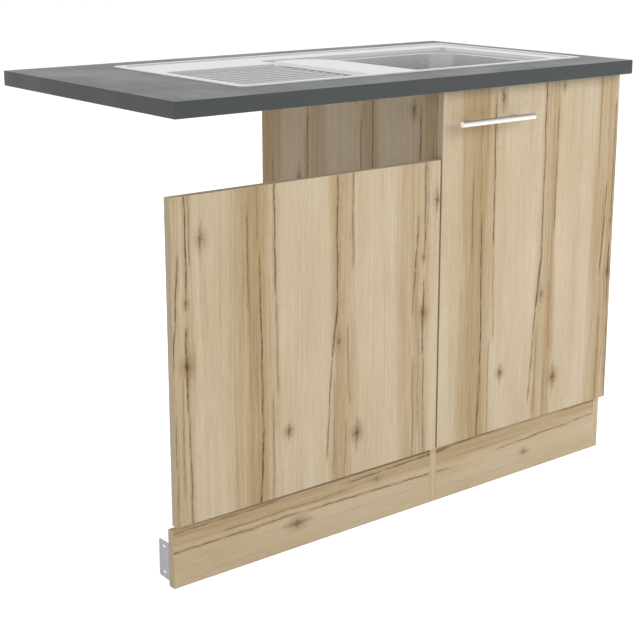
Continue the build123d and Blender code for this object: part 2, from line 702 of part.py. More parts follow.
def overflow_run():
    """The pipe's path: down from the overflow's cup and across to the waste's inlet."""
    x, y, top = overflow_drop_line()
    across = Vector(x - bowl_x, y - bowl_y, 0)
    reach = across.length
    plane = Plane(origin=(bowl_x, bowl_y, 0), x_dir=across, z_dir=across.cross(Vector(0, 0, 1)))
    level = body_top_z - INLET_DROP
    start = body_outer_radius + PIPE_STANDOFF
    path = FilletPolyline(
        plane.from_local_coords((reach, top - PIPE_TOP_DROP)),
        plane.from_local_coords((reach, level)),
        plane.from_local_coords((start, level)),
        radius=OVERFLOW_PIPE_BEND,
    )
    return path, across.normalized(), level


def overflow_pipe():
    """A bent plastic pipe from the overflow to the waste."""
    path, _, _ = overflow_run()
    ring = Circle(OVERFLOW_PIPE_RADIUS) - Circle(OVERFLOW_PIPE_RADIUS - OVERFLOW_PIPE_WALL)
    return sweep(Plane(path ^ 0) * ring, path=path)


def socket(origin, direction, length):
    """The outside of a pipe socket."""
    return rod(origin, direction, length, OVERFLOW_PIPE_RADIUS + SOCKET_WALL)


def waste_body():
    """The plastic waste body: a flange, a cup and the overflow's inlet."""
    flange = waste_rod(
        body_top_z - WASTE_BODY_WALL, body_top_z, WASTE_FLANGE_RADIUS - BODY_FLANGE_INSET
    )
    cup = waste_rod(body_floor_z, body_top_z, body_outer_radius)
    _, out, level = overflow_run()
    axis = Vector(bowl_x, bowl_y, level)
    wall_end = body_outer_radius + PIPE_STANDOFF
    inlet = socket(axis + out * body_bore_radius, out, wall_end + SOCKET_DEPTH - body_bore_radius)
    space = waste_rod(body_floor_z + WASTE_BODY_WALL, body_top_z + 1, body_bore_radius)
    bore = waste_rod(
        body_floor_z - 1, body_floor_z + WASTE_BODY_WALL + 1, OUTLET_RADIUS - OUTLET_WALL
    )
    pipe_bore = rod(
        axis + out * (wall_end - FIT), out, SOCKET_DEPTH + SOCKET_ROOT, OVERFLOW_PIPE_RADIUS + FIT
    )
    flow_bore = rod(
        axis + out * (body_bore_radius - SOCKET_ROOT), out, 2 * SOCKET_ROOT,
        OVERFLOW_PIPE_RADIUS - OVERFLOW_PIPE_WALL,
    )
    shell = flange + cup + inlet - space - bore - pipe_bore - flow_bore
    boss = waste_rod(body_floor_z, cup_floor_z - BODY_BOSS_DROP, BODY_BOSS_RADIUS)
    bridge = block(
        bowl_x - OUTLET_RADIUS, bowl_x + OUTLET_RADIUS,
        bowl_y - WASTE_BODY_WALL, bowl_y + WASTE_BODY_WALL,
        body_floor_z, body_floor_z + WASTE_BODY_WALL,
    )
    hole = waste_rod(body_floor_z + WASTE_BODY_WALL, cup_floor_z + 1, WASTE_SCREW_RADIUS + FIT)
    return shell + boss + bridge - hole


def waste_outlet():
    """The outlet stub for the trap's nut, with a collar under the body's floor."""
    low_z = body_floor_z - OUTLET_LENGTH
    stub = waste_rod(low_z, body_floor_z, OUTLET_RADIUS)
    collar = waste_rod(body_floor_z - OUTLET_COLLAR, body_floor_z, OUTLET_RADIUS + OUTLET_COLLAR)
    return stub + collar - waste_rod(low_z - 1, body_floor_z + 1, OUTLET_RADIUS - OUTLET_WALL)


def waste_screw():
    """The long screw that draws the strainer cup down on the bowl."""
    head_low = cup_floor_z + BASKET_WALL
    head = waste_rod(head_low, head_low + WASTE_SCREW_HEAD_HEIGHT, WASTE_SCREW_HEAD_RADIUS)
    return head + waste_rod(body_floor_z + 2 * WASTE_BODY_WALL, head_low, WASTE_SCREW_RADIUS)


def waste_basket():
    """The strainer basket with its plug and knob, which lifts out of the cup."""
    low = cup_floor_z + BASKET_WALL
    floor = low + PLUG_THICKNESS
    top = floor + BASKET_DEPTH
    basket = waste_rod(floor, top, BASKET_RADIUS)
    basket = chamfer(basket.edges().group_by(Axis.Z)[0], CUP_EDGE)
    rim = waste_rod(top - BASKET_WALL, top, WASTE_CUP_RADIUS - BASKET_WALL - BASKET_CLEARANCE)
    space = waste_rod(floor + BASKET_WALL, top + 1, BASKET_RADIUS - BASKET_WALL)
    space = chamfer(space.edges().group_by(Axis.Z)[0], CUP_EDGE - BASKET_WALL / 2)
    holes = ring_of_holes(BASKET_HOLES, BASKET_HOLE_PITCH, floor - 1, floor + 2, BASKET_HOLE_RADIUS)
    stem = waste_rod(floor, top + KNOB_EDGE, BASKET_STEM_RADIUS)
    knob = waste_rod(top, top + BASKET_KNOB_HEIGHT, BASKET_KNOB_RADIUS)
    knob = chamfer(knob.edges(), KNOB_EDGE)
    plug = waste_rod(low, floor, PLUG_RADIUS)
    pocket = waste_rod(
        low - 1, low + WASTE_SCREW_HEAD_HEIGHT + BASKET_CLEARANCE, WASTE_SCREW_HEAD_RADIUS + BASKET_CLEARANCE
    )
    return basket + rim - space - holes + stem + knob + plug - pocket


def overflow_cover():
    """The round cover in the bowl, with a ring of slots."""
    cover = overflow_rod(0, OVERFLOW_COVER_THICKNESS, OVERFLOW_COVER_RADIUS)
    slots = [
        overflow_plane() * Rot(0, 0, index * 360 / COVER_SLOTS) * Pos(COVER_SLOT_PITCH, 0, 0)
        * Cylinder(COVER_SLOT_RADIUS, 4 * OVERFLOW_COVER_THICKNESS)
        for index in range(COVER_SLOTS)
    ]
    return cover - slots - overflow_rod(-1, OVERFLOW_COVER_THICKNESS + 1, OVERFLOW_SCREW_RADIUS + FIT)


def overflow_seal():
    behind = -SHEET - OVERFLOW_SEAL_THICKNESS
    outer = overflow_rod(behind, -SHEET, OVERFLOW_COVER_RADIUS)
    return outer - overflow_rod(behind - 1, 0, OVERFLOW_HOLE_RADIUS)


def overflow_elbow():
    """The plastic cup behind the overflow, with a socket for the pipe below it."""
    front = -SHEET - OVERFLOW_SEAL_THICKNESS
    back = front - OVERFLOW_CUP_DEPTH
    flange = overflow_rod(front - SOCKET_WALL, front, OVERFLOW_COVER_RADIUS)
    cup = overflow_rod(back, front, OVERFLOW_HOLE_RADIUS + SOCKET_WALL)
    x, y, top = overflow_drop_line()
    neck = socket((x, y, top + SOCKET_ROOT), (0, 0, -1), SOCKET_ROOT + SOCKET_DEPTH)
    space = overflow_rod(back + SOCKET_WALL, front + 1, OVERFLOW_HOLE_RADIUS)
    pipe_bore = rod(
        (x, y, top - PIPE_TOP_DROP + FIT), (0, 0, -1), SOCKET_DEPTH + SOCKET_ROOT, OVERFLOW_PIPE_RADIUS + FIT
    )
    flow_bore = rod(
        (x, y, top + SOCKET_WALL + SOCKET_ROOT), (0, 0, -1), SOCKET_DEPTH + SOCKET_ROOT,
        OVERFLOW_PIPE_RADIUS - OVERFLOW_PIPE_WALL,
    )
    boss = overflow_rod(back, front, OVERFLOW_BOSS_RADIUS)
    hole = overflow_rod(back + SOCKET_WALL, front + 1, OVERFLOW_SCREW_RADIUS + FIT)
    return flange + cup + neck - space - pipe_bore - flow_bore + boss - hole


def overflow_screw():
    tip = -SHEET - OVERFLOW_SEAL_THICKNESS - OVERFLOW_CUP_DEPTH + 2 * SOCKET_WALL
    head_low = OVERFLOW_COVER_THICKNESS
    head = overflow_rod(head_low, head_low + OVERFLOW_SCREW_HEAD_HEIGHT, OVERFLOW_SCREW_HEAD_RADIUS)
    return head + overflow_rod(tip, head_low, OVERFLOW_SCREW_RADIUS)


# ---- Door, handle and hinges ----
handle_x = door_left_x + HANDLE_FROM_EDGE
handle_z = door_top_z - HANDLE_BELOW_TOP
bar_y = front_face_y - HANDLE_PROJECTION + HANDLE_BAR_RADIUS
hinge_heights = (PLINTH_HEIGHT + HINGE_FROM_END, door_top_z - HINGE_FROM_END)
cup_x = door_right_x - CUP_FROM_EDGE - CUP_RADIUS


def handle_post_places():
    return [handle_x - HANDLE_SPACING / 2, handle_x + HANDLE_SPACING / 2]


def handle_bar():
    """The round bar, drilled at the back for its two posts."""
    bar = rod((handle_x - HANDLE_LENGTH / 2, bar_y, handle_z), (1, 0, 0), HANDLE_LENGTH, HANDLE_BAR_RADIUS)
    bar = chamfer(bar.edges().filter_by(GeomType.CIRCLE), HANDLE_BAR_EDGE)
    seats = [
        rod((x, bar_y, handle_z), (0, 1, 0), HANDLE_BAR_RADIUS + 1, HANDLE_POST_RADIUS + FIT)
        for x in handle_post_places()
    ]
    return bar - seats


def handle_posts():
    """The two posts between the bar and the door, each tapped for its screw."""
    posts = []
    for x in handle_post_places():
        post = rod((x, bar_y, handle_z), (0, 1, 0), front_face_y - bar_y, HANDLE_POST_RADIUS)
        thread = rod((x, front_face_y, handle_z), (0, -1, 0), HANDLE_TAP_DEPTH, HANDLE_SCREW_RADIUS + FIT)
        posts.append(post - thread)
    return posts


def handle_screws():
    """The screws from the door's back into the posts."""
    screws = []
    for x in handle_post_places():
        seat = (x, front_back_y, handle_z)
        shank = rod(seat, (0, -1, 0), BOARD + HANDLE_SCREW_IN_POST, HANDLE_SCREW_RADIUS)
        head = rod(seat, (0, 1, 0), HANDLE_SCREW_HEAD_HEIGHT, HANDLE_SCREW_HEAD_RADIUS)
        screws.append(shank + head)
    return screws


def hinge_cup_screw_seats():
    x = cup_x - CUP_SCREW_OFFSET
    y = front_back_y + CUP_FLANGE_THICKNESS
    half = CUP_SCREW_SPACING / 2
    return [(x, y, z + side) for z in hinge_heights for side in (-half, half)]


def door():
    """The door, bored for the handle's screws and for the two hinge cups."""
    slab = board(
        door_left_x, door_right_x, front_face_y, front_back_y, PLINTH_HEIGHT, door_top_z
    )
    cuts = [
        rod((x, front_face_y - 1, handle_z), (0, 1, 0), BOARD + 2, HANDLE_SCREW_RADIUS + FIT)
        for x in handle_post_places()
    ]
    for z in hinge_heights:
        cuts.append(rod((cup_x, front_back_y + 1, z), (0, -1, 0), CUP_DEPTH + 1 + FIT, CUP_RADIUS + FIT))
    cuts += [screw_hole((0, -1, 0), seat, CUP_SCREW_LENGTH) for seat in hinge_cup_screw_seats()]
    return slab - cuts


def hinge_cup(z):
    """A hinge cup with its two ears on the door's back."""
    back = front_back_y
    cup = rod((cup_x, back, z), (0, -1, 0), CUP_DEPTH, CUP_RADIUS)
    ears = Pos(cup_x, z) * Circle(CUP_RADIUS + CUP_FLANGE_WIDTH)
    ears += Pos(cup_x - CUP_SCREW_OFFSET, z) * RectangleRounded(
        CUP_EAR_WIDTH, CUP_SCREW_SPACING + CUP_EAR_WIDTH, CUP_EAR_CORNER
    )
    plate = extrude(Plane.XZ.offset(-back) * ears, -CUP_FLANGE_THICKNESS)
    space = rod(
        (cup_x, back + CUP_FLANGE_THICKNESS + 1, z),
        (0, -1, 0),
        CUP_DEPTH + CUP_FLANGE_THICKNESS + 1 - CUP_WALL,
        CUP_RADIUS - CUP_WALL,
    )
    holes = [screw_hole((0, -1, 0), seat, CUP_SCREW_LENGTH) for seat in hinge_cup_screw_seats()]
    return cup + plate - space - holes


def hinge_plate_screw_seats():
    x = inner_right_x - PLATE_THICKNESS
    y = carcass_y + PLATE_FROM_FRONT
    half = PLATE_SCREW_SPACING / 2
    return [(x, y, z + side) for z in hinge_heights for side in (-half, half)]


arm_outer_x = inner_right_x - PLATE_THICKNESS - HINGE_ARM_HEIGHT


def hinge_arm_screw_seat(z):
    return (arm_outer_x, carcass_y + PLATE_FROM_FRONT, z)


def hinge_plate(z):
    """A mounting plate on the right side panel, with a raised block inside the arm."""
    y = carcass_y + PLATE_FROM_FRONT
    wing = Pos(y, z) * RectangleRounded(PLATE_WING, PLATE_HEIGHT, PLATE_CORNER)
    wing += Pos(y, z) * Rectangle(PLATE_LENGTH, HINGE_ARM_WIDTH)
    plate = extrude(Plane.YZ.offset(inner_right_x) * wing, -PLATE_THICKNESS)
    half = PLATE_LENGTH / 2
    side = HINGE_ARM_WIDTH / 2 - HINGE_ARM_SHEET - FIT
    hub_x = arm_outer_x + HINGE_ARM_SHEET
    hub = block(hub_x, inner_right_x - PLATE_THICKNESS, y - half, y + half, z - side, z + side)
    holes = [screw_hole((1, 0, 0), seat) for seat in hinge_plate_screw_seats()]
    holes.append(screw_hole((1, 0, 0), hinge_arm_screw_seat(z), ARM_SCREW_LENGTH))
    return plate + hub - holes


def hinge_arm(z):
    """A channel-shaped arm over its mounting plate."""
    y0 = carcass_y + HINGE_ARM_SETBACK
    y1 = y0 + HINGE_ARM_LENGTH
    side = HINGE_ARM_WIDTH / 2
    plate_x = inner_right_x - PLATE_THICKNESS
    channel = block(arm_outer_x, plate_x, y0, y1, z - side, z + side)
    channel = fillet(channel.faces().sort_by(Axis.X)[0].edges().filter_by(Axis.Y), HINGE_ARM_EDGE)
    inner = side - HINGE_ARM_SHEET
    space = block(
        arm_outer_x + HINGE_ARM_SHEET, plate_x + 1, y0 + HINGE_ARM_SHEET, y1 + 1, z - inner, z + inner
    )
    return channel - space - screw_hole((1, 0, 0), hinge_arm_screw_seat(z), ARM_SCREW_LENGTH)


def door_bumpers():
    """Two felt dots on the left side panel's front edge."""
    x = cabinet_x + BOARD / 2
    heights = (PLINTH_HEIGHT + BUMPER_FROM_TOP, door_top_z - BUMPER_FROM_TOP)
    return [rod((x, front_back_y, z), (0, 1, 0), FRONT_BACK_GAP, BUMPER_RADIUS) for z in heights]


# ---- Boards ----
def cut(plain, tools):
    """Cut a board with those tools that reach it."""
    box = plain.bounding_box()
    near = []
    for tool in tools:
        reach = tool.bounding_box()
        apart = (
            reach.min.X > box.max.X or reach.max.X < box.min.X
            or reach.min.Y > box.max.Y or reach.max.Y < box.min.Y
            or reach.min.Z > box.max.Z or reach.max.Z < box.min.Z
        )
        if not apart:
            near.append(tool)
    return plain - near if near else plain


def cabinet_boards():
    """The cabinet's boards by name, before drilling."""
    rail_low = worktop_under_z - RAIL_HEIGHT
    floor_z = PLINTH_HEIGHT + BOARD
    rail_y = carcass_y + RAIL_SETBACK
    x0, x1 = inner_left_x, inner_right_x
    return {
        "side_panel_left": board(cabinet_x, inner_left_x, carcass_y, back_y, 0, worktop_under_z),
        "side_panel_right": board(inner_right_x, right_x, carcass_y, back_y, 0, worktop_under_z),
        "bottom_panel": board(x0, x1, carcass_y, back_y, PLINTH_HEIGHT, floor_z),
        "front_rail": board(x0, x1, rail_y, rail_y + BOARD, rail_low, worktop_under_z),
        "rear_rail_top": board(x0, x1, back_y - BOARD, back_y, rail_low, worktop_under_z),
        "rear_rail_bottom": board(x0, x1, back_y - BOARD, back_y, floor_z, floor_z + RAIL_HEIGHT),
        "cabinet_plinth": board(x0, x1, carcass_y, carcass_y + BOARD, 0, PLINTH_HEIGHT),
    }


def bay_front():
    """The dishwasher's front: a plain panel that the appliance carries."""
    x0, x1 = left_x + FRONT_REVEAL, cabinet_x - FRONT_REVEAL
    z0, z1 = PLINTH_HEIGHT, PLINTH_HEIGHT + BAY_FRONT_HEIGHT
    return board(x0, x1, front_face_y, front_back_y, z0, z1)


def bay_plinth():
    return board(left_x + BAY_PLINTH_INSET, cabinet_x, carcass_y, carcass_y + BOARD, 0, BAY_PLINTH_HEIGHT)


def build_cabinet():
    cams, bolts, dowels, cuts = fittings()
    angles, angle_screws, angle_holes = worktop_angles()
    bracket_screws, bracket_holes = plinth_screws()
    plate_holes = [screw_hole((1, 0, 0), seat) for seat in hinge_plate_screw_seats()]
    drilled = cuts + angle_holes + bracket_holes + plate_holes
    for name, plain in cabinet_boards().items():
        write(name, cut(plain, drilled))
    write("worktop", cut(worktop(), angle_holes))
    write("dishwasher_plinth", cut(bay_plinth(), bracket_holes))
    write("cam_housings", *cams)
    write("cam_bolts", *bolts)
    write("dowels", *dowels)
    write("worktop_brackets", *angles)
    write("worktop_bracket_screws", *angle_screws)
    write("plinth_bracket_screws", *bracket_screws)


def build_bay():
    write("dishwasher_front", bay_front())
    write("plinth_bracket_left", plinth_bracket(left_x + BAY_PLINTH_INSET, 1))
    write("plinth_bracket_right", plinth_bracket(cabinet_x, -1))


def build_sink():
    overflow_hole = overflow_rod(-5, 3, OVERFLOW_HOLE_RADIUS)
    clips = [at_clip(place, turn, sink_clip()) for place, turn in clip_places()]
    clip_screws = [at_clip(place, turn, sink_clip_screw()) for place, turn in clip_places()]
    write("sink", sink(overflow_hole))
    write("sink_seal", sink_seal())
    write("sink_rails", *hanger_strips())
    write("sink_clips", *clips)
    write("sink_clip_screws", *clip_screws)
    write("waste_flange", waste_flange())
    write("waste_seal", waste_seal())
    write("waste_body", waste_body())
    write("waste_outlet", waste_outlet())
    write("waste_screw", waste_screw())
    write("waste_basket", waste_basket())
    write("overflow_cover", overflow_cover())
    write("overflow_seal", overflow_seal())
    write("overflow_elbow", overflow_elbow())
    write("overflow_screw", overflow_screw())
    write("overflow_pipe", overflow_pipe())


def build_door():
    low, high = hinge_heights
    write("door", door())
    write("door_bumpers", *door_bumpers())
    write("handle_bar", handle_bar())
    write("handle_posts", *handle_posts())
    write("handle_screws", *handle_screws())
    write("hinge_cups", hinge_cup(low), hinge_cup(high))
    write("hinge_arms", hinge_arm(low), hinge_arm(high))
    write("hinge_plates", hinge_plate(low), hinge_plate(high))
    cup_seats = hinge_cup_screw_seats()
    write("hinge_cup_screws", *[screw((0, -1, 0), seat, CUP_SCREW_LENGTH) for seat in cup_seats])
    write("hinge_plate_screws", *[screw((1, 0, 0), seat) for seat in hinge_plate_screw_seats()])
    arm_seats = [hinge_arm_screw_seat(z) for z in hinge_heights]
    write("hinge_arm_screws", *[screw((1, 0, 0), seat, ARM_SCREW_LENGTH) for seat in arm_seats])


os.makedirs("parts", exist_ok=True)
build_cabinet()
build_bay()
build_sink()
build_door()
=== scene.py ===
import bpy
import math
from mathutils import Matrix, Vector


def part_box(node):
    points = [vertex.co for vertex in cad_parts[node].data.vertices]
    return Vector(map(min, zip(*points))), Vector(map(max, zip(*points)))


# A kitchen sink unit under soft studio light. Metres, in the part's own frame: +Z up, the fronts
# face -Y, and the origin is on the floor, in the middle of the unit. Every piece is a CAD solid:
# this script gives each its material, and adds the floor, the lamps and the camera.

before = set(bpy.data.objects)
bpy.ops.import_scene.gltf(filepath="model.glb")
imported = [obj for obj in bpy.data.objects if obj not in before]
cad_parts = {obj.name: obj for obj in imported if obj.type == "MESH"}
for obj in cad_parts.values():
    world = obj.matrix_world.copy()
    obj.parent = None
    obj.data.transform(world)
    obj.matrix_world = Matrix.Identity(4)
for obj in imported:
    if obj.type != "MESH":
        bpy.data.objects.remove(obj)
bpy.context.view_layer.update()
X, Y, Z = 0, 1, 2


# ---- Node helpers ----
class Net:
    """A short way to write a node tree: each call makes one node and returns its output."""

    def __init__(self, tree):
        self.tree = tree
        self.tree.nodes.clear()

    def node(self, kind, settings=(), **inputs):
        made = self.tree.nodes.new(kind)
        for key, value in dict(settings).items():
            setattr(made, key, value)
        for key, value in inputs.items():
            self.feed(made.inputs[key.replace("_", " ")], value)
        return made

    def feed(self, socket, value):
        if isinstance(value, bpy.types.NodeSocket):
            self.tree.links.new(value, socket)
        else:
            socket.default_value = value

    def math(self, op, *values, clamp=False):
        made = self.node("ShaderNodeMath", {"operation": op, "use_clamp": clamp})
        for socket, value in zip(made.inputs, values):
            self.feed(socket, value)
        return made.outputs[0]

    def add(self, a, b):
        return self.math("ADD", a, b)

    def sub(self, a, b):
        return self.math("SUBTRACT", a, b)

    def mul(self, a, b):
        return self.math("MULTIPLY", a, b)

    def larger(self, a, b):
        return self.math("MAXIMUM", a, b)

    def vector(self, x, y, z):
        return self.node("ShaderNodeCombineXYZ", X=x, Y=y, Z=z).outputs[0]

    def split(self, value):
        return self.node("ShaderNodeSeparateXYZ", Vector=value).outputs

    def coordinate(self, kind):
        return self.node("ShaderNodeTexCoord").outputs[kind]

    def noise(self, where, scale, detail=2.0, rough=0.5):
        made = self.node(
            "ShaderNodeTexNoise", Vector=where, Scale=scale, Detail=detail, Roughness=rough
        )
        return made.outputs["Fac"]

    def step(self, value, low, high, to_low=0.0, to_high=1.0):
        """A smooth step between two values of the input."""
        made = self.node("ShaderNodeMapRange", {"interpolation_type": "SMOOTHSTEP", "clamp": True})
        for key, item in zip(("Value", "From Min", "From Max", "To Min", "To Max"),
                             (value, low, high, to_low, to_high)):
            self.feed(made.inputs[key], item)
        return made.outputs["Result"]

    def mix(self, amount, a, b):
        made = self.node("ShaderNodeMix", {"data_type": "RGBA"})
        for index, item in ((0, amount), (6, a), (7, b)):
            self.feed(made.inputs[index], item)
        return made.outputs[2]

    def bump(self, height, strength, distance):
        made = self.node("ShaderNodeBump", Height=height, Strength=strength, Distance=distance)
        return made.outputs["Normal"]

    def join(self, output, node, socket):
        self.tree.links.new(output, node.inputs[socket])


def grain(net, u, v, per_u, per_v, seed, detail=2.0, rough=0.5):
    """Noise for the wood print, with how finely it varies across and along the grain."""
    return net.noise(net.vector(net.mul(u, per_u), net.mul(v, per_v), seed), 1.0, detail, rough)


def drawn_lines(net, place, along, fine, coarse, rough=0.5):
    """Noise drawn out into lines along one axis of the object."""
    scaled = [net.mul(place[axis], coarse if axis == along else fine) for axis in range(3)]
    return net.noise(net.vector(*scaled), 1.0, 3.0, rough)


def srgb(r, g, b):
    """A colour written as 0-255 display values."""
    def line(value):
        value /= 255
        return value / 12.92 if value <= 0.04045 else ((value + 0.055) / 1.055) ** 2.4
    return (line(r), line(g), line(b), 1.0)


def new_material(name):
    mat = bpy.data.materials.new(name)
    mat.use_nodes = True
    return mat, Net(mat.node_tree)


def finish_material(net, **inputs):
    shader = net.node("ShaderNodeBsdfPrincipled", **inputs)
    net.join(shader.outputs[0], net.node("ShaderNodeOutputMaterial"), "Surface")


# ---- Wood print ----
# U runs across the grain and V along it. The fronts and panels take the print above V = 0, and the
# plinths take it below.
REPEAT = 0.530  # the print's width, after which it starts again
BAND_WANDER = 0.034  # how far the bands' edges stray across
KNOT_WAVER = 0.005  # how far the knots' outlines stray across
KNOT_PUSH = 0.0050  # how far a knot pushes the grain aside
CRACK_JITTER = 0.0022  # raggedness of the cracks' sides
CRACK_SWAY = 0.0075  # how far the cracks stray across
# Cracks: across at the foot, across at the head, foot, head, half width, strength.
CRACKS = (
    (0.031, 0.030, 0.505, 0.780, 0.0009, 0.95),
    (0.037, 0.037, 0.560, 0.720, 0.0006, 0.60),
    (0.002, 0.015, 0.390, 0.606, 0.0010, 0.95),
    (0.029, 0.029, 0.310, 0.480, 0.0011, 0.95),
    (0.035, 0.032, 0.060, 0.330, 0.0008, 0.85),
    (0.005, 0.005, 0.060, 0.330, 0.0007, 0.70),
    (0.018, 0.021, 0.160, 0.400, 0.0006, 0.60),
    (0.155, 0.155, 0.470, 0.660, 0.0007, 0.75),
    (0.175, 0.175, 0.580, 0.800, 0.0006, 0.60),
    (0.185, 0.179, 0.240, 0.590, 0.0010, 1.00),
    (0.176, 0.186, 0.060, 0.270, 0.0012, 1.00),
    (0.206, 0.207, 0.060, 0.330, 0.0006, 0.65),
    (0.213, 0.211, 0.480, 0.820, 0.0010, 0.95),
    (0.218, 0.214, 0.300, 0.500, 0.0006, 0.60),
    (0.351, 0.350, 0.430, 0.860, 0.0010, 0.95),
    (0.338, 0.352, 0.350, 0.470, 0.0014, 1.00),
    (0.326, 0.339, 0.150, 0.370, 0.0009, 0.85),
    (0.343, 0.345, 0.120, 0.330, 0.0006, 0.50),
    (0.386, 0.387, 0.500, 0.780, 0.0007, 0.75),
    (0.382, 0.374, 0.250, 0.420, 0.0007, 0.70),
    (0.368, 0.372, 0.100, 0.240, 0.0006, 0.55),
    (0.328, 0.330, -1.280, -0.900, 0.0009, 0.95),
    (0.330, 0.322, -0.930, -0.520, 0.0009, 0.95),
    (0.363, 0.367, -1.260, -0.950, 0.0008, 0.85),
    (0.358, 0.366, -0.840, -0.540, 0.0011, 1.00),
    (0.341, 0.345, -1.120, -0.780, 0.0007, 0.70),
    (0.365, 0.376, -0.640, -0.360, 0.0012, 1.00),
    (0.329, 0.343, -0.440, -0.060, 0.0009, 0.90),
    (0.374, 0.371, -0.400, -0.080, 0.0008, 0.75),
)
# Knots: across, along, half width, half height, strength.
KNOTS = (
    (0.029, 0.402, 0.0085, 0.0120, 1.00),
    (0.029, 0.511, 0.0045, 0.0060, 0.85),
    (0.060, 0.618, 0.0095, 0.0120, 0.70),
    (0.241, 0.240, 0.0080, 0.0080, 0.90),
    (0.398, 0.200, 0.0095, 0.0120, 1.00),
    (0.355, 0.386, 0.0085, 0.0095, 0.60),
    (0.230, 0.797, 0.0070, 0.0135, 0.85),
    (0.402, 0.807, 0.0060, 0.0070, 0.75),
    (0.311, -0.928, 0.0085, 0.0150, 1.00),
    (0.349, -0.738, 0.0050, 0.0080, 0.70),
    (0.304, -0.332, 0.0060, 0.0075, 0.90),
)
# Honey-brown bands: from, to, softness of each side, strength.
BANDS = (
    (-0.028, 0.042, 0.012, 0.64),
    (0.120, 0.210, 0.022, 0.80),
    (0.338, 0.390, 0.010, 0.72),
    (0.150, 0.188, 0.008, 0.48),
)
PALE = srgb(200, 184, 157)
WARM = srgb(192, 173, 143)
HONEY = srgb(169, 143, 103)
BROWN = srgb(136, 108, 71)
KNOT_TAIL = srgb(104, 77, 48)
DARK = srgb(74, 47, 22)
LIGHT = srgb(211, 198, 173)
EDGE_LIGHT = srgb(194, 177, 149)  # the boards' edge band
EDGE_SHADE = srgb(178, 158, 127)


def wrapped(net, value, centre):
    """Distance across from a centre, in a print that repeats."""
    turn = net.math("FRACT", net.add(net.mul(net.sub(value, centre), 1 / REPEAT), 0.5))
    return net.mul(net.sub(turn, 0.5), REPEAT)


def print_knots(net, across, along):
    """The knots' dark cores, halos and tails, and how far they push the grain aside."""
    waver = grain(net, across, along, 9.0, 26.0, 4.0, 3.0)
    waver = net.mul(net.sub(waver, 0.5), KNOT_WAVER)
    gnarl = grain(net, across, along, 230.0, 150.0, 6.0, 3.0, 0.7)
    gnarl = net.step(gnarl, 0.25, 0.75, 0.55, 1.75)
    cores, halo, tail, bend = 0.0, 0.0, 0.0, 0.0
    for u0, v0, half_u, half_v, strength in KNOTS:
        du = net.mul(wrapped(net, net.add(across, waver), u0), 1 / half_u)
        dv = net.mul(net.sub(along, v0), 1 / half_v)
        square_u, square_v = net.mul(du, du), net.mul(dv, dv)
        far = net.math("SQRT", net.add(square_u, square_v))
        spread = net.math("DIVIDE", 2.6, net.add(far, 0.05))
        rays = net.step(grain(net, du, dv, spread, spread, 40.0 * u0), 0.34, 0.66, 0.72, 1.60)
        core = net.step(net.mul(far, net.mul(gnarl, rays)), 1.10, 0.15)
        cores = net.larger(cores, net.mul(core, strength))
        halo = net.larger(halo, net.mul(net.step(far, 3.6, 0.4), strength))
        thin = net.math("SQRT", net.add(net.mul(square_u, 3.0), net.mul(square_v, 0.05)))
        tail = net.larger(tail, net.mul(net.step(net.mul(thin, gnarl), 1.0, 0.1), strength))
        near = net.step(far, 6.0, 0.3)
        side = net.math("DIVIDE", du, net.add(net.math("ABSOLUTE", du), 0.5))
        bend = net.add(bend, net.mul(net.mul(near, side), KNOT_PUSH * strength))
    return cores, halo, tail, bend


def print_bands(net, across, grain_u, along):
    """How honey-brown the print is: broad bands between pale planks."""
    wander = grain(net, across, along, 3.0, 5.0, 0.0, 3.0)
    wander = net.mul(net.sub(wander, 0.5), BAND_WANDER)
    broad = grain(net, grain_u, along, 52.0, 1.1, 1.0, 3.0, 0.6)
    honey = 0.0
    for low, high, soft, strength in BANDS:
        place = wrapped(net, net.add(grain_u, wander), (low + high) / 2)
        reach = (high - low) / 2
        inside = net.step(net.math("ABSOLUTE", place), reach + soft, reach - soft)
        honey = net.add(honey, net.mul(inside, strength))
    honey = net.mul(honey, net.step(broad, 0.28, 0.62, 0.55, 1.05))
    return net.math("ADD", honey, net.mul(net.step(broad, 0.50, 0.72), 0.26), clamp=True)


def print_cracks(net, across, along):
    """Cracks with ragged sides and tapering ends, and the brown shade beside them."""
    ragged = grain(net, across, along, 90.0, 95.0, 9.0, 4.0, 0.75)
    sway = grain(net, across, along, 6.0, 13.0, 8.0)
    jitter = net.add(net.mul(net.sub(ragged, 0.5), CRACK_JITTER),
                     net.mul(net.sub(sway, 0.5), CRACK_SWAY))
    stretches = grain(net, across, along, 20.0, 34.0, 10.0, 3.0, 0.7)
    broken = net.step(stretches, 0.32, 0.54, 0.50, 1.0)
    width = net.step(stretches, 0.30, 0.72, 0.70, 1.75)
    crack, shade = 0.0, 0.0
    for foot_u, head_u, foot_v, head_v, half, strength in CRACKS:
        part = net.mul(net.sub(along, foot_v), 1 / (head_v - foot_v))
        line = net.add(net.mul(part, head_u - foot_u), foot_u)
        off = net.math("ABSOLUTE", wrapped(net, net.sub(net.add(across, jitter), line), 0.0))
        ends_fade = net.mul(net.step(part, 0.0, 0.14), net.step(part, 1.0, 0.86))
        fade = net.mul(ends_fade, strength)
        slim = net.mul(off, net.math("DIVIDE", 1.0, width))
        here = net.mul(net.step(slim, half * 1.6, half * 0.3), fade)
        crack = net.larger(crack, net.mul(here, broken))
        shade = net.larger(shade, net.mul(net.step(off, 0.0065, 0.0004), fade))
    return crack, shade


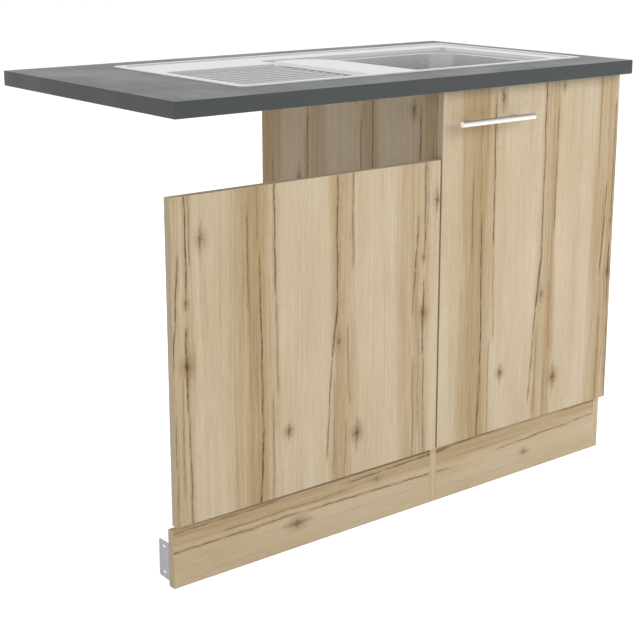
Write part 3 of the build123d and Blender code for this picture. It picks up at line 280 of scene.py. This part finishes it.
def wood_print():
    """The printed wood as a node group: U and V in metres to colour and height."""
    group = bpy.data.node_groups.new("wood_print", "ShaderNodeTree")
    for label in ("U", "V"):
        group.interface.new_socket(label, in_out="INPUT", socket_type="NodeSocketFloat")
    group.interface.new_socket("Color", in_out="OUTPUT", socket_type="NodeSocketColor")
    group.interface.new_socket("Height", in_out="OUTPUT", socket_type="NodeSocketFloat")
    net = Net(group)
    ends = net.node("NodeGroupInput").outputs
    across, along = ends["U"], ends["V"]
    cores, halo, tail, bend = print_knots(net, across, along)
    grain_u = net.sub(across, bend)
    honey = print_bands(net, across, grain_u, along)
    crack, shade = print_cracks(net, across, along)

    # Streaks, fibres and pores, each finer than the one before, and broad clouds under them.
    streak = grain(net, grain_u, along, 210.0, 3.2, 2.0, 4.0, 0.65)
    fibre = grain(net, grain_u, along, 620.0, 16.0, 3.0, 5.0, 0.75)
    pores = net.step(grain(net, grain_u, along, 1300.0, 75.0, 5.0, 1.0), 0.58, 0.76)
    cloud = grain(net, grain_u, along, 14.0, 3.2, 7.0)
    brown_streak = net.mul(net.step(streak, 0.50, 0.72), net.add(net.mul(honey, 0.55), 0.15))
    light_streak = net.mul(net.step(streak, 0.50, 0.28), net.sub(0.42, net.mul(honey, 0.15)))

    colour = net.mix(net.step(cloud, 0.30, 0.70), PALE, WARM)
    for amount, tone in (
        (honey, HONEY),
        (brown_streak, BROWN),
        (light_streak, LIGHT),
        (net.mul(net.step(fibre, 0.48, 0.70), 0.30), BROWN),
        (net.mul(net.step(fibre, 0.50, 0.30), 0.24), LIGHT),
        (net.mul(pores, 0.26), DARK),
        (net.mul(net.mul(halo, halo), 0.62), BROWN),
        (net.mul(tail, 0.62), KNOT_TAIL),
        (net.mul(shade, net.step(streak, 0.35, 0.65, 0.16, 0.62)), BROWN),
        (net.mul(crack, 0.92), DARK),
        (net.mul(cores, 0.80), DARK),
    ):
        colour = net.mix(amount, colour, tone)

    height = net.sub(net.mul(streak, 0.4), net.add(net.mul(pores, 0.5), crack))
    out = net.node("NodeGroupOutput")
    net.join(colour, out, "Color")
    net.join(height, out, "Height")
    return group


WOOD = wood_print()


def decor(name, face, across, along, shift_u, shift_v=0.0, tint=0.0):
    """Printed board: wood on the faces whose normal lies along one axis, edge band elsewhere."""
    mat, net = new_material(name)
    place = net.split(net.coordinate("Object"))
    normal = net.split(net.coordinate("Normal"))
    wood = net.node("ShaderNodeGroup", {"node_tree": WOOD})
    net.feed(wood.inputs["U"], net.add(place[across], shift_u))
    net.feed(wood.inputs["V"], net.add(place[along], shift_v))
    on_face = net.math("GREATER_THAN", net.math("ABSOLUTE", normal[face]), 0.8)
    lines = drawn_lines(net, place, along, 520.0, 9.0)
    band = net.mix(net.step(lines, 0.35, 0.70), EDGE_LIGHT, EDGE_SHADE)
    printed = net.mix(tint, wood.outputs["Color"], HONEY)
    finish_material(
        net,
        Base_Color=net.mix(on_face, band, printed),
        Roughness=net.step(lines, 0.2, 0.8, 0.50, 0.62),
        Normal=net.bump(net.mul(wood.outputs["Height"], on_face), 0.18, 0.0006),
    )
    return mat


# ---- Worktop, metal and plastic ----
def laminate():
    """Slate-grey worktop laminate: a fine speckle, a slight texture and a darker edge."""
    mat, net = new_material("worktop_laminate")
    place = net.coordinate("Object")
    speckle = net.step(net.noise(place, 900.0, 2.0, 0.7), 0.35, 0.70)
    cloud = net.noise(place, 9.0, 3.0, 0.55)
    top = net.mix(speckle, srgb(66, 70, 69), srgb(79, 83, 82))
    top = net.mix(net.mul(net.step(cloud, 0.40, 0.70), 0.35), top, srgb(85, 89, 88))
    edge = net.mix(speckle, srgb(48, 52, 52), srgb(60, 64, 64))
    level = net.math("ABSOLUTE", net.split(net.coordinate("Normal"))[Z])
    finish_material(
        net,
        Base_Color=net.mix(net.step(level, 0.50, 0.85), edge, top),
        Roughness=net.step(cloud, 0.3, 0.7, 0.36, 0.46),
        Specular_IOR_Level=0.44,
        Normal=net.bump(net.noise(place, 420.0, 3.0, 0.6), 0.22, 0.0004),
    )
    return mat


# Brush lines in steel: the noise's scale across them and along them, and its roughness.
BRUSH_FINE, BRUSH_COARSE, BRUSH_ROUGH = 1400.0, 12.0, 0.65


def metal(name, light, dark, rough, along, bump):
    """Brushed or plated steel, with its brush lines along one axis."""
    mat, net = new_material(name)
    place = net.coordinate("Object")
    brushed = drawn_lines(net, net.split(place), along, BRUSH_FINE, BRUSH_COARSE, BRUSH_ROUGH)
    cloud = net.noise(place, 14.0)
    finish_material(
        net,
        Base_Color=net.mix(net.step(brushed, 0.30, 0.72), light, dark),
        Metallic=1.0,
        Roughness=net.add(net.step(brushed, 0.25, 0.75, rough, rough + 0.10),
                          net.step(cloud, 0.35, 0.7, -0.02, 0.03)),
        Normal=net.bump(brushed, bump, 0.0003),
    )
    return mat


# The sink's pressed drainer, with part.py's sizes, and the painted shade between its ribs.
FIELD_MARGIN = 0.023  # sink's edge to the recessed field
DRAINER_LENGTH = 0.287
DRAINER_LEDGE = 0.152  # width of the ledge behind the drainer
RIB_COUNT = 10
RIB_FRONT_GAP = 0.020  # drainer's front edge to the first rib's middle
RIB_BACK_GAP = 0.015  # last rib's middle to the drainer's back edge
RIB_CREST = 0.0054  # width of a rib's flat top
RIB_FADE = 0.0020  # painted shade fades in from a crest's edge down into the hollow
LEFT_FADE, RIGHT_FADE, END_FADE = 0.010, 0.015, 0.006  # painted shade fades in from the drainer's edges inwards
SINK_LIGHT = (0.84, 0.84, 0.835, 1)
SINK_SHADE = (0.76, 0.76, 0.755, 1)
SINK_GLANCE = (0.96, 0.96, 0.96, 1)  # tint of a grazing reflection on the rim and the ledges
# Painted shade: the darker steel colour between the drainer's ribs.
HOLLOW_PAINTED_SHADE = (0.58, 0.58, 0.585, 1)
HOLLOW_PAINTED_DARK_GLANCE = (0.34, 0.34, 0.34, 1)  # painted shade: a darker tint of a grazing reflection between the ribs


def drainer_painted_shade(net, place):
    """Where shade is painted: 1 between the drainer's ribs, 0 on their crests and outside the
    drainer.
    """
    (left, front, _), (_, back, _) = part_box("sink")
    left, front = left + FIELD_MARGIN, front + FIELD_MARGIN
    right, back = left + DRAINER_LENGTH, back - DRAINER_LEDGE
    first_rib = front + RIB_FRONT_GAP
    pitch = (back - RIB_BACK_GAP - first_rib) / (RIB_COUNT - 1)
    turn = net.math("FRACT", net.add(net.mul(net.sub(place[Y], first_rib), 1 / pitch), 0.5))
    from_rib = net.mul(net.math("ABSOLUTE", net.sub(turn, 0.5)), pitch)
    between = net.step(from_rib, RIB_CREST / 2, RIB_CREST / 2 + RIB_FADE)
    inside_x = net.mul(net.step(place[X], left, left + LEFT_FADE),
                       net.step(place[X], right, right - RIGHT_FADE))
    inside_y = net.mul(net.step(place[Y], front, front + END_FADE),
                       net.step(place[Y], back, back - END_FADE))
    return net.mul(between, net.mul(inside_x, inside_y))


def sink_steel():
    """Pressed steel: bright on the rim, the ledges and the ribs. Between the ribs it has painted
    shade and is slightly rougher.
    """
    mat, net = new_material("sink_steel")
    place = net.split(net.coordinate("Object"))
    brushed = drawn_lines(net, place, X, BRUSH_FINE, BRUSH_COARSE, BRUSH_ROUGH)
    # Mask of the painted shade between the drainer's ribs: darker colour and darker grazing
    # reflection there.
    painted_shade = drainer_painted_shade(net, place)
    colour = net.mix(net.step(brushed, 0.30, 0.72), SINK_LIGHT, SINK_SHADE)
    rough = net.step(brushed, 0.25, 0.75, 0.20, 0.29)
    finish_material(
        net,
        Base_Color=net.mix(painted_shade, colour, HOLLOW_PAINTED_SHADE),
        Metallic=1.0,
        Specular_Tint=net.mix(painted_shade, SINK_GLANCE, HOLLOW_PAINTED_DARK_GLANCE),
        Roughness=net.add(rough, net.mul(painted_shade, 0.04)),
        Normal=net.bump(brushed, 0.03, 0.0003),
    )
    return mat


def galvanised():
    """Zinc-coated sheet with faint spangles."""
    mat, net = new_material("galvanised")
    place = net.coordinate("Object")
    cells = net.node("ShaderNodeTexVoronoi", Vector=place, Scale=190.0).outputs["Color"]
    tone = net.split(cells)[X]
    finish_material(
        net,
        Base_Color=net.mix(tone, srgb(152, 152, 157), srgb(166, 166, 171)),
        Metallic=0.9,
        Roughness=net.step(tone, 0.0, 1.0, 0.30, 0.46),
        Normal=net.bump(net.noise(place, 700.0), 0.08, 0.0003),
    )
    return mat


def moulded(name, base, shade, rough, scale=600.0, strength=0.12):
    """Moulded plastic or foam: a fine skin over a slightly uneven colour."""
    mat, net = new_material(name)
    place = net.coordinate("Object")
    skin = net.noise(place, scale, 3.0, 0.6)
    cloud = net.noise(place, 18.0)
    finish_material(
        net,
        Base_Color=net.mix(net.step(cloud, 0.3, 0.7), base, shade),
        Roughness=net.step(skin, 0.3, 0.7, rough, rough + 0.12),
        Normal=net.bump(skin, strength, 0.0004),
    )
    return mat


def beech():
    """Plain beech with its fibres along the dowels."""
    mat, net = new_material("beech")
    fibre = drawn_lines(net, net.split(net.coordinate("Object")), X, 900.0, 40.0)
    finish_material(
        net,
        Base_Color=net.mix(net.step(fibre, 0.35, 0.7), srgb(214, 180, 134), srgb(184, 146, 98)),
        Roughness=net.step(fibre, 0.3, 0.7, 0.55, 0.7),
        Normal=net.bump(fibre, 0.2, 0.0003),
    )
    return mat


# ---- Which piece wears what ----
# The fronts take the print from the worktop's left end. The other boards' shifts only choose
# which stretch of it they show.
left_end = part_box("worktop")[0][X]
fronts = decor("wood_fronts", Y, X, Z, -left_end)
plinths = decor("wood_plinths", Y, Z, X, 0.262, -0.650, tint=0.22)
sides = decor("wood_sides", X, Y, Z, 0.420, 0.02)
shelves = decor("wood_bottom", Z, Y, X, 0.140, 0.3)
rails = decor("wood_rails", Y, Z, X, 0.090, 0.5)
steel = metal("drain_steel", SINK_LIGHT, SINK_SHADE, 0.21, X, 0.03)
plated = metal("plated_steel", (0.74, 0.74, 0.73, 1), (0.58, 0.58, 0.57, 1), 0.26, Z, 0.08)
bar_steel = metal("handle_steel", (0.90, 0.87, 0.82, 1), (0.78, 0.75, 0.70, 1), 0.24, X, 0.08)
zinc = metal("zinc_fittings", (0.70, 0.70, 0.68, 1), (0.54, 0.54, 0.52, 1), 0.32, X, 0.12)
sheet_zinc = galvanised()
plastic = moulded("white_plastic", srgb(226, 226, 223), srgb(214, 214, 211), 0.42)
rubber = moulded("foam_black", srgb(38, 38, 38), srgb(50, 50, 49), 0.75, 260.0, 0.3)
bumper_dot = moulded("clear_dot", srgb(196, 190, 178), srgb(180, 174, 162), 0.5)

DRESS = {
    "worktop": laminate(),
    "sink": sink_steel(),
    "overflow_cover": steel,
    "waste_flange": steel,
    "waste_basket": steel,
    "door": fronts,
    "dishwasher_front": fronts,
    "dishwasher_plinth": plinths,
    "cabinet_plinth": plinths,
    "side_panel_left": sides,
    "side_panel_right": sides,
    "bottom_panel": shelves,
    "front_rail": rails,
    "rear_rail_top": rails,
    "rear_rail_bottom": rails,
    "dowels": beech(),
    "handle_bar": bar_steel,
    "handle_posts": bar_steel,
    "sink_seal": rubber,
    "waste_seal": rubber,
    "overflow_seal": rubber,
    "door_bumpers": bumper_dot,
    "overflow_elbow": plastic,
    "overflow_pipe": plastic,
    "waste_body": plastic,
    "waste_outlet": plastic,
    "sink_rails": sheet_zinc,
    "sink_clips": sheet_zinc,
    "worktop_brackets": sheet_zinc,
    "plinth_bracket_left": sheet_zinc,
    "plinth_bracket_right": sheet_zinc,
    "hinge_cups": plated,
    "hinge_arms": plated,
    "hinge_plates": plated,
}
for name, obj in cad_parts.items():
    obj.data.materials.clear()
    obj.data.materials.append(DRESS.get(name, zinc))  # screws, cams and bolts are zinc


# ---- Studio ----
FLOOR_SIZE = 30.0
FLOOR_GLOW = 0.70  # lifts the floor to near white where the camera or a reflection sees it
WORLD_FILL = 0.42
CEILING_LEVEL = 0.52
CEILING_FROM, CEILING_TO = 0.26, 0.62  # height of the view direction where the ceiling dims
# Lamps: name, place, aimed at, size, watts.
LAMPS = (
    ("key", (2.2, -3.6, 2.4), (0.0, 0.0, 0.4), (3.2, 2.6), 112.0),
    ("fill_left", (-3.4, -2.4, 1.5), (-0.1, 0.0, 0.5), (1.8, 1.8), 23.0),
    ("overhead", (0.2, 0.6, 3.6), (0.0, 0.0, 0.8), (4.0, 3.2), 78.0),
)


def link(obj):
    bpy.context.scene.collection.objects.link(obj)


def seen_directly(net):
    """1 for a ray from the camera, or in a mirror or through glass, and 0 for one that lights."""
    rays = net.node("ShaderNodeLightPath").outputs
    seen = net.larger(rays["Is Camera Ray"], rays["Is Glossy Ray"])
    return net.larger(seen, rays["Is Transmission Ray"])


def stage_floor():
    """A pale floor that stays near white for the camera and keeps the unit's soft shadow."""
    mesh = bpy.data.meshes.new("floor")
    half = FLOOR_SIZE / 2
    corners = [(-half, -half, 0), (half, -half, 0), (half, half, 0), (-half, half, 0)]
    mesh.from_pydata(corners, [], [(0, 1, 2, 3)])
    floor = bpy.data.objects.new("floor", mesh)
    link(floor)
    mat, net = new_material("floor_pale")
    strength = net.mul(seen_directly(net), FLOOR_GLOW)
    tint = net.noise(net.coordinate("Object"), 3.0)
    colour = net.mix(net.step(tint, 0.3, 0.7), (0.80, 0.80, 0.80, 1), (0.82, 0.82, 0.82, 1))
    diffuse = net.node("ShaderNodeBsdfDiffuse", Color=colour)
    glow = net.node("ShaderNodeEmission", Color=(1, 1, 1, 1), Strength=strength)
    both = net.node("ShaderNodeAddShader")
    net.join(diffuse.outputs[0], both, 0)
    net.join(glow.outputs[0], both, 1)
    net.join(both.outputs[0], net.node("ShaderNodeOutputMaterial"), "Surface")
    mesh.materials.append(mat)


def world_light():
    """A white backdrop under a dimmer ceiling, and a plain fill light on the object."""
    world = bpy.data.worlds.new("studio")
    world.use_nodes = True
    net = Net(world.node_tree)
    height = net.split(net.coordinate("Generated"))[Z]
    ceiling = net.step(height, CEILING_FROM, CEILING_TO, 1.0, CEILING_LEVEL)
    level = net.add(net.mul(seen_directly(net), net.sub(ceiling, WORLD_FILL)), WORLD_FILL)
    back = net.node("ShaderNodeBackground", Color=(1, 1, 1, 1), Strength=level)
    net.join(back.outputs[0], net.node("ShaderNodeOutputWorld"), "Surface")
    bpy.context.scene.world = world


def lamp(name, place, target, size, watts):
    """An area lamp that leaves no glare: steel and laminate mirror only the backdrop."""
    light = bpy.data.lights.new(name, "AREA")
    light.shape = "RECTANGLE"
    light.size, light.size_y = size
    light.energy = watts
    obj = bpy.data.objects.new(name, light)
    obj.location = place
    obj.visible_glossy = False
    obj.rotation_euler = (Vector(target) - Vector(place)).to_track_quat("-Z", "Y").to_euler()
    link(obj)


stage_floor()
world_light()
for settings in LAMPS:
    lamp(*settings)


# ---- Camera ----
CAMERA_PLACE = (-1.708, -2.133, 1.122)
CAMERA_YAW = math.radians(38.334)  # from the unit's own depth direction, towards +X
CAMERA_PITCH = math.radians(13.527)  # downwards
CAMERA_LENS = 77.95  # mm
CAMERA_SHIFT = (-0.004, -0.100)

camera_data = bpy.data.cameras.new("camera")
camera_data.lens = CAMERA_LENS
camera_data.shift_x, camera_data.shift_y = CAMERA_SHIFT
camera = bpy.data.objects.new("camera", camera_data)
camera.location = CAMERA_PLACE
camera.rotation_euler = (math.pi / 2 - CAMERA_PITCH, 0.0, -CAMERA_YAW)
link(camera)
bpy.context.scene.camera = camera
bpy.context.scene.view_settings.view_transform = "Standard"
